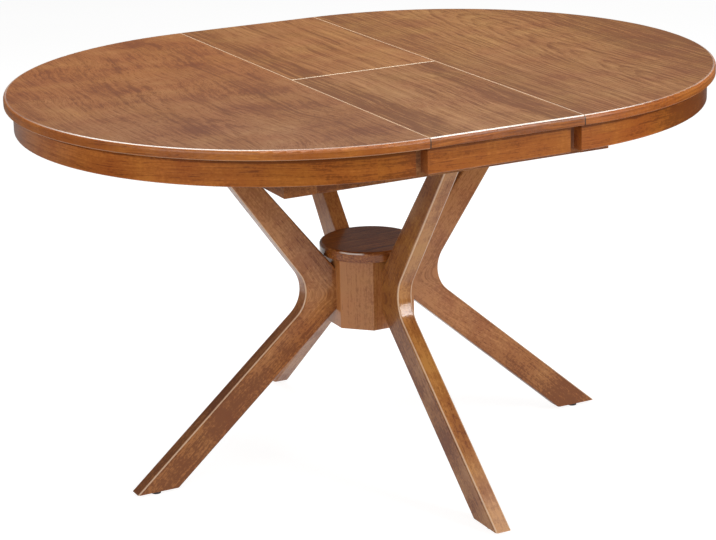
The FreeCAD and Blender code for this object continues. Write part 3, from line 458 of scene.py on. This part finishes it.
def veneerShade(tree, place, parts, look):    # a darker band beside the seam, with wandering edges
    wander = swing(tree, noise(tree, place, *bandEdge["wander"]))
    across = calc(tree, "ABSOLUTE", parts[0]) if "bothSides" in look else parts[0]
    offBand = calc(tree, "ADD", calc(tree, "SUBTRACT", across, look["bandAt"]),
                   product(tree, wander, look["bandWide"] * bandEdge["sway"]))
    core, fade = (look["bandWide"] * bandEdge[key] for key in ("core", "fade"))
    shade = ease(tree, calc(tree, "ABSOLUTE", offBand), core, fade, look["bandShade"], look["panelShade"])
    if "along" in look:
        shade = calc(tree, "ADD", shade, ease(tree, parts[0], *look["along"], *look["alongShade"]))
    return shade


def rimLevel(*turns):    # height above the start of the rounding, for angles on it
    return [rimLine["round"] * math.sin(turn) for turn in turns]


def paintLipping(tree, place, parts, name, look, rim, colour):    # round the edge, with a painted highlight along its foot
    if name.startswith("leaf"):
        around = grainStraight(tree, place, alongXOnEdge)
        fromMiddle = calc(tree, "ABSOLUTE", parts[1])
    else:
        around = grainAroundRim(tree, place, -1 if name.startswith("left") else 1)
        fromMiddle = split(tree, around)[2]
    lipping = figure(tree, around, {**look, **saturated, "ringDepth": 0.0},
                     look["seed"] + rimLine["lipSeed"], look["lipShade"])
    onRim = ease(tree, calc(tree, "SUBTRACT", fromMiddle, rimRadius - rimLine["round"]), *rimLine["start"])
    up = calc(tree, "SUBTRACT", parts[2], topZ - rimLine["round"])
    upright = product(tree, ease(tree, up, *rimLevel(*rimLine["upright"])), onRim)
    colour = mixColour(tree, upright, colour, lipping["Color"])
    fromBelow = calc(tree, "SUBTRACT", parts[2], panelZ)
    footHighlight = product(tree, ease(tree, fromBelow, *rimLine["footHighlight"]), onRim, rim["low"])
    return mixColour(tree, footHighlight, colour, rimLine["footHighlightColour"]), up, upright


def paintRimHighlight(tree, place, parts, up, rim, colour):    # a painted highlight: a pale line on the rim's rounding, strongest at the front
    rounding = product(tree, ease(tree, up, *rimLevel(rim["below"], rim["below"] + rimLine["soft"])),
                       ease(tree, up, *rimLevel(*rimLine["top"])))
    patchy = ease(tree, noise(tree, place, *rimLine["patch"]), *rimLine["patchCut"])
    stretch = product(tree, ease(tree, parts[0], *rim["fadeIn"], rim["faint"], 1.0),
                      ease(tree, parts[0], *rim["fadeOut"], 1.0, rim["faint"]))
    amounts = (rim["amount"] * rimLine["backShare"], rim["amount"])
    highlightStrength = product(tree, ease(tree, parts[1], *rimLine["front"], *amounts), stretch)
    return mixColour(tree, product(tree, rounding, patchy, highlightStrength), colour, rimLine["colour"])


def thinLine(tree, away, width):
    return ease(tree, away, width * seamLine["core"], width, 1.0, 0.0)


def paintSeams(tree, parts, upright, folds, colour):
    # the pale lines on the top are painted highlights; the dark line in the lipping is the joint
    onTop = calc(tree, "GREATER_THAN", parts[2], topZ - seamLine["depth"])
    fromSeam = calc(tree, "SUBTRACT", calc(tree, "ABSOLUTE", parts[0]), seamX)
    seam = thinLine(tree, calc(tree, "ABSOLUTE", fromSeam), seamLine["width"])
    colour = mixColour(tree, product(tree, seam, onTop), colour, seamLine["colour"])
    colour = mixColour(tree, product(tree, seam, upright), colour, seamLine["gapColour"])
    if folds:
        fold = thinLine(tree, calc(tree, "ABSOLUTE", parts[1]), seamLine["foldWidth"])
        colour = mixColour(tree, product(tree, fold, onTop), colour, seamLine["foldColour"])
    return colour


def veneerMaterial(name, change):
    look = {**brownWood, **satin, **change}
    rim = rimHighlights[name.split("_")[0]]
    material, tree, shader, place = newMaterial(titled(name, "veneer"))
    parts = split(tree, place)
    wood = figure(tree, place, look, look["seed"], veneerShade(tree, place, parts, look))
    # painted sheen and light: the front-to-back tint
    tint = mixColour(tree, ease(tree, parts[1], *tintReach), look["nearTint"], look["farTint"])
    stained = mixColour(tree, 1.0, wood["Color"], tint, "MULTIPLY")
    colour, up, upright = paintLipping(tree, place, parts, name, look, rim, stained)
    colour = paintRimHighlight(tree, place, parts, up, rim, colour)
    colour = paintSeams(tree, parts, upright, name.startswith("leaf"), colour)
    finishWood(tree, shader, place, wood, colour, look)
    return material


for name, change in veneerLooks.items():
    paint(name, veneerMaterial(name, change))
print("tops and leaf veneered")

# Aprons: grain runs round the curve and along the straight leaf pieces, with painted shadow close under the
# top

apronLook = {**brownWood, **saturated, "edgeRub": 0.12, "rise": (panelZ - 0.0095, panelZ - 0.0075),
             "riseShade": (0.0, -0.5), "staveWidth": 0.3, "toneDepth": 0.1, "ringDepth": 0.0,
             "bandDepth": 0.3, "streakDepth": 0.4, "cloudDepth": 0.5, "fibreDepth": 0.5, "speckleDepth": 0.5}
curvedAprons = {"left_apron": {"seed": 2.1, "side": -1, "along": (-0.6, -0.35), "alongShade": (0.25, -0.2)},
                "right_apron": {"seed": 5.6, "side": 1, "along": (0.27, 0.4), "alongShade": (0.12, -0.5)}}
leafAprons = {"leaf_rear_apron": {"seed": 8.2}, "leaf_front_apron": {"seed": 3.9}}
for name, apron in curvedAprons.items():
    paint(name, boardMaterial(titled(name, "wood"), grainAroundRim, apron["side"], {**apronLook, **apron}))
for name, apron in leafAprons.items():
    paint(name, boardMaterial(titled(name, "wood"), grainStraight, alongXOnEdge, {**apronLook, **apron}))
print("aprons finished")

# Legs and hub: solid staves glued up, grain along each arm

greyer = {"dark": (0.185, 0.058, 0.016, 1.0), "middle": (0.335, 0.118, 0.031, 1.0),
          "light": (0.47, 0.185, 0.054, 1.0)}
jointedLook = {**brownWood, **greyer, "staveWidth": 0.5, "staveLength": 3.0, "toneDepth": 0.1,
               "ringDepth": 0.0, "bandDepth": 0.4, "streakDepth": 0.4, "cloudDepth": 0.7, "fibreDepth": 0.45,
               "speckleDepth": 0.8}
# with a painted highlight along the legs' outer edges
legLook = {**jointedLook, "highlightAmount": 0.6, "highlightColour": (0.9, 0.66, 0.46, 1.0)}
legHighlightBand = {"inner": (0.0122, 0.0134), "outer": (0.0157, 0.0148),    # sideways from the leg's middle
           "facing": (0.15, 0.5)}
# rise and riseShade: darker towards the feet and lighter towards the top; the lift at the top is painted
# light on the arms that the table top shades
legs = {"leg_left": {"way": Vector((-1.0, 0.0, 0.0)), "seed": 1.7, "rise": (0.02, 0.66),
                     "riseShade": (-0.42, 0.34)},
        "leg_right": {"way": Vector((1.0, 0.0, 0.0)), "seed": 4.0, "rise": (0.02, 0.32),
                      "riseShade": (-0.45, 0.36)},
        # along and alongShade: painted shade on the front leg's left side face
        "leg_front": {"way": Vector((0.0, -1.0, 0.0)), "seed": 6.3, "rise": (0.3, 0.6),
                      "riseShade": (0.25, 0.5), "along": (-0.0158, -0.0125), "alongShade": (-0.36, 0.0),
                      "middle": (0.34, 0.127, 0.029, 1.0), "light": (0.48, 0.2, 0.05, 1.0)},
        "leg_rear": {"way": Vector((0.0, 1.0, 0.0)), "seed": 8.6, "rise": (0.02, 0.4),
                     "riseShade": (0.1, 0.45)}}


def paintedLegHighlight(outward, tree, place):    # a painted highlight along the outer rounded edges, on the faces turned outward
    lateral = calc(tree, "ABSOLUTE", vectorCalc(tree, "DOT_PRODUCT", place, upward.cross(outward)))
    onEdge = product(tree, ease(tree, lateral, *legHighlightBand["inner"]), ease(tree, lateral, *legHighlightBand["outer"]))
    facing = vectorCalc(tree, "DOT_PRODUCT", surfaceNormal(tree), outward)
    return product(tree, onEdge, ease(tree, facing, *legHighlightBand["facing"]))


for name, leg in legs.items():
    highlightLine = partial(paintedLegHighlight, leg["way"])
    paint(name, boardMaterial(titled(name, "wood"), grainAlongLeg, leg["way"], {**legLook, **leg}, highlightLine))
hubLook = {**jointedLook, "seed": 6.4, "staveWidth": 0.066, "toneDepth": 0.15, "cloudDepth": 0.45,
           "rise": (0.0, 0.1), "riseShade": (0.0, 0.5), "middle": (0.345, 0.124, 0.034, 1.0)}
paint("hub_post", boardMaterial("hub post wood", grainStraight, alongZ, hubLook))
# the cap's colours, darker than the legs', are painted shade for the table top's shadow, and its rise keeps
# the level face a little darker; edgeRub: partly wear, partly a painted highlight round its top edge
capLook = {**brownWood, "seed": 3.3, "dark": (0.12, 0.032, 0.008, 1.0), "middle": (0.3, 0.09, 0.02, 1.0),
           "staveWidth": 0.5, "rise": (capHigh - 0.0012, capHigh - 0.0002), "riseShade": (0.1, 0.05),
           "flatCoat": 0.4, "flatTilt": (0.9, 0.99), "edgeRub": 0.7, "edgeReach": 0.002, "speckleDepth": 0.4,
           "highlightAmount": 0.85, "highlightColour": (0.97, 0.86, 0.76, 1.0)}
capHighlightArcs = {"below": (0.0046, 0.0036), "above": (0.0012, 0.0022),    # depth under the top
           "arcs": ((-48.0, 17.0), (13.0, 11.0)), "fullShare": 0.6}    # middle and half width, in degrees


def paintedCapHighlight(tree, place):    # a painted highlight on two stretches of the cap's rounding, at the front
    depth = calc(tree, "SUBTRACT", capHigh, split(tree, place)[2])
    onRound = product(tree, ease(tree, depth, *capHighlightArcs["below"]), ease(tree, depth, *capHighlightArcs["above"]))
    outward = vectorCalc(tree, "NORMALIZE", vectorCalc(tree, "MULTIPLY", place, (1.0, 1.0, 0.0)))
    lit = 0.0
    for azimuth, half in capHighlightArcs["arcs"]:
        way = (math.sin(math.radians(azimuth)), -math.cos(math.radians(azimuth)), 0.0)
        reach = [math.cos(math.radians(half * share)) for share in (1.0, capHighlightArcs["fullShare"])]
        near = ease(tree, vectorCalc(tree, "DOT_PRODUCT", outward, way), *reach)
        lit = calc(tree, "MAXIMUM", near, lit)
    return product(tree, onRound, lit)


paint("hub_cap", boardMaterial("hub cap wood", grainStraight, alongX, capLook, paintedCapHighlight))
print("legs and hub finished")

# Frame, slides, rails and blocks under the top

# rise and riseShade: painted shade, darker towards the tops of the bars in the hollow under the top
frameLook = {**jointedLook, "staveWidth": 0.08, "staveLength": 0.6, "toneDepth": 0.25, "gloss": 0.42,
             "coat": 0.5, "rise": (frameLow + 0.016, frameLow + 0.026), "riseShade": (-0.16, -0.5)}
frameBars = {"frame_bar_left": (alongY, 0.4), "frame_bar_right": (alongY, 2.9),
             "frame_bar_front": (alongX, 5.1), "frame_bar_rear": (alongX, 7.7)}    # grain and seed
for name, (order, seed) in frameBars.items():
    paint(name, boardMaterial(titled(name, "wood"), grainStraight, order, {**frameLook, "seed": seed}))
paleLook = {**brownWood, "dark": (0.25, 0.13, 0.055, 1.0), "middle": (0.47, 0.29, 0.145, 1.0),
            "light": (0.57, 0.38, 0.21, 1.0), "edge": (0.62, 0.43, 0.25, 1.0), "staveWidth": 0.06,
            "ringDepth": 0.3, "gloss": 0.58, "coat": 0.05, "coatRoughness": 0.3, "grainRelief": 0.25}
slideWood = boardMaterial("slide wood", grainStraight, alongX, {**paleLook, "seed": 1.1})
railWood = boardMaterial("pivot rail wood", grainStraight, alongY, {**paleLook, "seed": 4.2})
blockWood = boardMaterial("glue block wood", grainStraight, alongZ, {**paleLook, "seed": 8.8})
for name in nodes:
    if name.endswith("_screws"):
        continue
    if name.endswith(("_blocks", "_dowels")):
        paint(name, blockWood)
    elif name.startswith(("slide_rail", "leaf_rest")) or "_runner_" in name:
        paint(name, slideWood)
    elif name.startswith("pivot_rail"):
        paint(name, railWood)
print("frame and slides finished")


# Metal and plastic

def metalMaterial(name, look):
    material, tree, shader, place = newMaterial(name)
    worn = placeGroup(tree, wornMetal, {"Vector": place, "Bright": look["bright"], "Dull": look["dull"],
                                        "Gloss": look["gloss"]})
    feed(tree, shader.inputs["Base Color"], worn["Color"])
    feed(tree, shader.inputs["Roughness"], worn["Roughness"])
    bump = addNode(tree, "Bump", {"Height": worn["Height"], "Strength": look["scratch"],
                                  "Distance": metalFigure["scratchHigh"]})
    feed(tree, shader.inputs["Normal"], bump.outputs[0])
    shader.inputs["Metallic"].default_value = look["metallic"]
    return material


metalLooks = {
    "zinc screws": {"bright": (0.68, 0.66, 0.6, 1.0), "dull": (0.42, 0.4, 0.35, 1.0), "gloss": 0.36,
                    "scratch": 0.15, "metallic": 1.0},
    "pivot steel": {"bright": grey(0.4), "dull": grey(0.22), "gloss": 0.42, "scratch": 0.2, "metallic": 1.0},
    "hinge brass": {"bright": (0.75, 0.55, 0.25, 1.0), "dull": (0.5, 0.33, 0.12, 1.0), "gloss": 0.3,
                    "scratch": 0.15, "metallic": 1.0},
    "gear nylon": {"bright": (0.82, 0.8, 0.74, 1.0), "dull": (0.7, 0.68, 0.6, 1.0), "gloss": 0.45,
                   "scratch": 0.1, "metallic": 0.0},
    "glide plastic": {"bright": (0.02, 0.018, 0.017, 1.0), "dull": (0.035, 0.032, 0.03, 1.0), "gloss": 0.5,
                      "scratch": 0.2, "metallic": 0.0}}
hardware = {name: metalMaterial(name, look) for name, look in metalLooks.items()}
for name in nodes:
    if name.endswith(("_screws", "_nails", "_bolts", "_washers", "_nuts")):
        paint(name, hardware["zinc screws"])
    elif name.startswith("leaf_bracket") or name in ("leaf_pivot_pins", "pinion_axles"):
        paint(name, hardware["pivot steel"])
    elif name.startswith("leaf_hinge"):
        paint(name, hardware["hinge brass"])
    elif "pinion" in name or "_rack_" in name:
        paint(name, hardware["gear nylon"])
    elif name == "foot_glides":
        paint(name, hardware["glide plastic"])
print("hardware finished")

# Studio: a pale floor that lights the table from below close by, soft boxes and a dim surround

floorLook = {"size": 60.0, "paint": grey(0.32), "seen": grey(0.88), "nearGlow": grey(0.46),
             "farGlow": grey(0.03), "glowEnd": (1.4, 2.0), "backGlow": grey(0.2), "back": (1.2, 1.9),
             "cloud": ((1.5, 1.5, 1.5), 3.0), "cloudCut": (0.2, 0.8, 0.96, 1.04), "rough": 0.9, "shine": 0.1}


def makeFloor():
    bpy.ops.mesh.primitive_plane_add(size=floorLook["size"])
    floor = bpy.context.object
    floor.name = "studio_floor"
    material, tree, shader, place = newMaterial("studio floor")
    away = ease(tree, vectorCalc(tree, "LENGTH", place), *floorLook["glowEnd"])
    behind = ease(tree, split(tree, place)[1], *floorLook["back"])
    distant = mixColour(tree, behind, floorLook["farGlow"], floorLook["backGlow"])
    glow = mixColour(tree, away, floorLook["nearGlow"], distant)
    inView = addNode(tree, "LightPath").outputs["Is Camera Ray"]
    feed(tree, shader.inputs["Emission Color"], mixColour(tree, inView, glow, floorLook["seen"]))
    unseenFar = product(tree, away, calc(tree, "SUBTRACT", 1.0, inView))
    bare = mixColour(tree, unseenFar, floorLook["paint"], floorLook["farGlow"])
    cloud = ease(tree, noise(tree, place, *floorLook["cloud"]), *floorLook["cloudCut"])
    feed(tree, shader.inputs["Base Color"], mixColour(tree, 1.0, bare, cloud, "MULTIPLY"))
    shader.inputs["Emission Strength"].default_value = 1.0
    shader.inputs["Roughness"].default_value = floorLook["rough"]
    shader.inputs["Specular IOR Level"].default_value = floorLook["shine"]
    floor.data.materials.append(material)


softBoxes = {
    "over strip": {"place": (0.75, -0.2, 3.1), "aim": (0.75, -0.05, 0.76), "size": (3.6, 0.7),
                   "watts": 41.0},
    "back strip": {"place": (0.0, 1.1, 2.8), "aim": (0.0, 0.4, 0.7), "size": (2.8, 0.8), "watts": 35.0},
    "right tall box": {"place": (1.65, -2.75, 1.5), "aim": (0.0, 0.0, 0.4), "size": (0.65, 2.1),
                       "watts": 58.0},
    "high right box": {"place": (1.6, -1.9, 2.6), "aim": (0.0, 0.0, 0.4), "size": (1.2, 1.2),
                       "watts": 11.0},
    "left box": {"place": (-2.35, -1.35, 1.3), "aim": (0.0, 0.0, 0.5), "size": (2.2, 1.4), "watts": 28.0},
    "front fill": {"place": (-2.6, -3.7, 1.9), "aim": (0.0, 0.0, 0.5), "size": (1.6, 1.4), "watts": 10.0},
    "high front box": {"place": (0.3, -2.3, 3.5), "aim": (0.0, -0.3, 0.3), "size": (1.6, 1.0),
                       "watts": 8.0}}


def makeSoftBox(name, box):
    light = bpy.data.lights.new(name, "AREA")
    light.shape = "RECTANGLE"
    light.size, light.size_y = box["size"]
    light.energy = box["watts"]
    lamp = bpy.data.objects.new(name, light)
    bpy.context.collection.objects.link(lamp)
    toward = Vector(box["aim"]) - Vector(box["place"])
    turn = toward.to_track_quat("-Z", "Y").to_matrix().to_4x4()
    lamp.matrix_world = Matrix.Translation(box["place"]) @ turn
    lamp.visible_camera = False


worldLight = {"colour": (1.0, 0.99, 0.97, 1.0), "strength": 0.17, "seen": 0.98}


def makeSurround():    # dim for the lighting, and a white backdrop past the floor's end for the camera
    world = bpy.data.worlds.new("studio surround")
    bpy.context.scene.world = world
    world.use_nodes = True
    tree = world.node_tree
    surround = next(node for node in tree.nodes if node.type == "BACKGROUND")
    surround.inputs["Color"].default_value = worldLight["colour"]
    inView = addNode(tree, "LightPath").outputs["Is Camera Ray"]
    added = worldLight["seen"] - worldLight["strength"]
    strength = calc(tree, "MULTIPLY_ADD", inView, added, worldLight["strength"])
    feed(tree, surround.inputs["Strength"], strength)


makeFloor()
for name, box in softBoxes.items():
    makeSoftBox(name, box)
makeSurround()
bpy.context.scene.view_settings.view_transform = "Standard"
print("studio lit")

# Camera: stands to the left in front of the table, looking down a little

cameraSet = {"place": (-1.9688, -3.8375, 1.7), "azimuth": 26.8737, "elevation": 17.1698, "roll": -1.4151,
             "focalPixels": 2326.8, "imageWidth": 716.0, "sensor": 36.0}


def makeCamera():
    azimuth, elevation, roll = (math.radians(cameraSet[key]) for key in ("azimuth", "elevation", "roll"))
    flat = math.cos(elevation)
    ahead = Vector((math.sin(azimuth) * flat, math.cos(azimuth) * flat, -math.sin(elevation)))
    level = Vector((math.cos(azimuth), -math.sin(azimuth), 0.0))
    upright = level.cross(ahead)
    right = level * math.cos(roll) + upright * math.sin(roll)
    up = upright * math.cos(roll) - level * math.sin(roll)
    data = bpy.data.cameras.new("photo camera")
    data.sensor_width = cameraSet["sensor"]
    data.lens = cameraSet["focalPixels"] * cameraSet["sensor"] / cameraSet["imageWidth"]
    camera = bpy.data.objects.new("photo camera", data)
    bpy.context.collection.objects.link(camera)
    turn = Matrix((right, up, -ahead)).transposed().to_4x4()
    camera.matrix_world = Matrix.Translation(cameraSet["place"]) @ turn
    bpy.context.scene.camera = camera


makeCamera()
print("camera placed")
